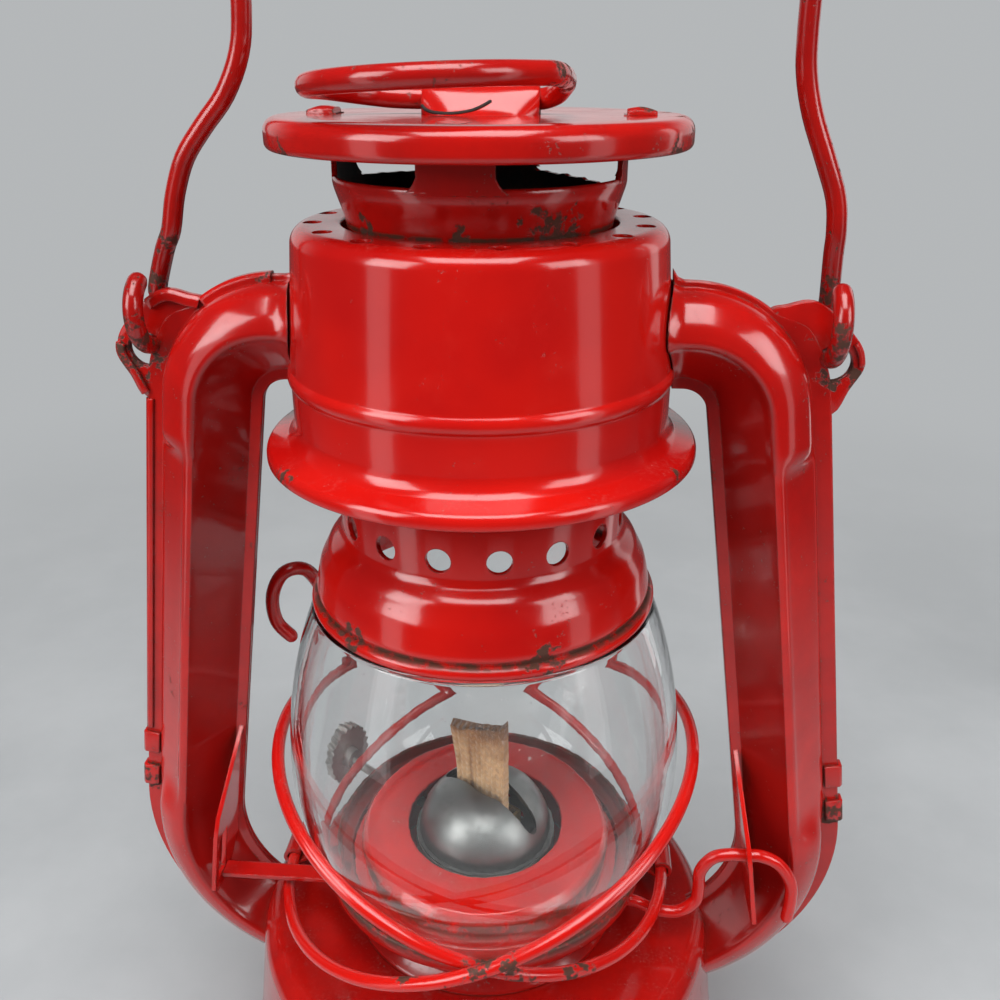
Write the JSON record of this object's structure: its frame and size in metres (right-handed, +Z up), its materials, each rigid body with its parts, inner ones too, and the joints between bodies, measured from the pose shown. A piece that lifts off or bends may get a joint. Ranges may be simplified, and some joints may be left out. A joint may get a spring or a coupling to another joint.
{
  "type": "kerosene lantern",
  "caption": "Small red tubular kerosene lantern with round fount, clear globe in wire guards, domed top, lifting chimney, side lever and wire bail.",
  "frame": {"origin": "centre of the foot, on the surface that the lantern stands on", "axes": "+Z up, -Y the front, +X the side of the globe lever"},
  "size_m": [0.1352, 0.1012, 0.2598],
  "materials": {
    "red_enamel": "glossy red enamel on pressed steel, worn to rust on edges and wire ends",
    "bare_steel": "dull bare steel",
    "brass": "dull brass",
    "gasket": "matt",
    "wick_cotton": "woven cotton, charred at the top",
    "clear_glass": "clear, slightly dusty"
  },
  "bodies": {
    "frame": {"fount_body": "red_enamel", "fount_base": "red_enamel", "air_duct": "bare_steel", "filler_neck": "brass", "burner_collar": "brass", "burner_basket": "bare_steel", "burner_cone": "bare_steel", "wick_tube": "brass", "air_bell": "red_enamel", "left_tube_front": "red_enamel", "left_tube_rear": "red_enamel", "right_tube_front": "red_enamel", "right_tube_rear": "red_enamel", "left_guide": "red_enamel", "lever_bracket": "red_enamel", "dome": "red_enamel", "chimney_spring": "bare_steel"},
    "globe_frame": {"globe_plate": "red_enamel", "guard_ring_left": "red_enamel", "guard_ring_right": "red_enamel", "hook_wire": "red_enamel", "globe": "clear_glass"},
    "lever": {"lift_lever": "red_enamel"},
    "chimney": {"chimney_collar": "red_enamel", "chimney_tube": "red_enamel", "cap": "red_enamel", "ring_saddle": "red_enamel"},
    "cap_ring": {"lift_ring": "red_enamel"},
    "bail": {"bail": "red_enamel"},
    "wick_raiser": {"wick_shaft": "bare_steel", "wick_wheels": "brass", "wick_knob": "brass"},
    "wick": {"wick": "wick_cotton"},
    "gasket": {"filler_gasket": "gasket"},
    "filler": {"filler_cap": "red_enamel"}
  },
  "joints": [
    {"name": "globe_lift", "type": "slide", "parent": "frame", "child": "globe_frame", "axis": [0, 0, 1], "range_m": [0, 0.008]},
    {"name": "lever_rock", "type": "hinge", "parent": "frame", "child": "lever", "pos_m": [0.04873, -0.01045, 0.07524], "axis": [0, 1, 0], "range_deg": [0, 20]},
    {"name": "chimney_pull", "type": "slide", "parent": "globe_frame", "child": "chimney", "axis": [0, 0, 1], "range_m": [0, 0.015], "stiffness_N_per_m": 200, "springref_m": -0.02, "deforming": ["chimney_spring"]},
    {"name": "cap_ring_fold", "type": "hinge", "parent": "chimney", "child": "cap_ring", "pos_m": [0, 0, 0.20155], "axis": [1, 0, 0], "range_deg": [-140, 0]},
    {"name": "bail_swing", "type": "hinge", "parent": "frame", "child": "bail", "pos_m": [0, 0, 0.1705], "axis": [1, 0, 0], "range_deg": [-95, 95]},
    {"name": "wick_knob_turn", "type": "hinge", "parent": "frame", "child": "wick_raiser", "pos_m": [0.00276, 0.00441, 0.0595], "axis": [-0.848, 0.5299, 0], "range_deg": [-143, 86]},
    {"name": "wick_rise", "type": "slide", "parent": "frame", "child": "wick", "axis": [0, 0, 1], "range_m": [-0.01, 0.0061]},
    {"name": "filler_rise", "type": "slide", "parent": "frame", "child": "gasket", "axis": [0, 0, 1], "range_m": [0, 0.00401]},
    {"name": "filler_turn", "type": "hinge", "parent": "gasket", "child": "filler", "pos_m": [0, 0.034, 0.056], "axis": [0, 0, 1], "range_deg": [0, 720]}
  ],
  "couplings": [
    {"joint": "lever_rock", "follows": "globe_lift", "rad_per_m": 43.415},
    {"joint": "wick_rise", "follows": "wick_knob_turn", "m_per_rad": 0.004},
    {"joint": "filler_rise", "follows": "filler_turn", "m_per_rad": 0.00031831}
  ]
}
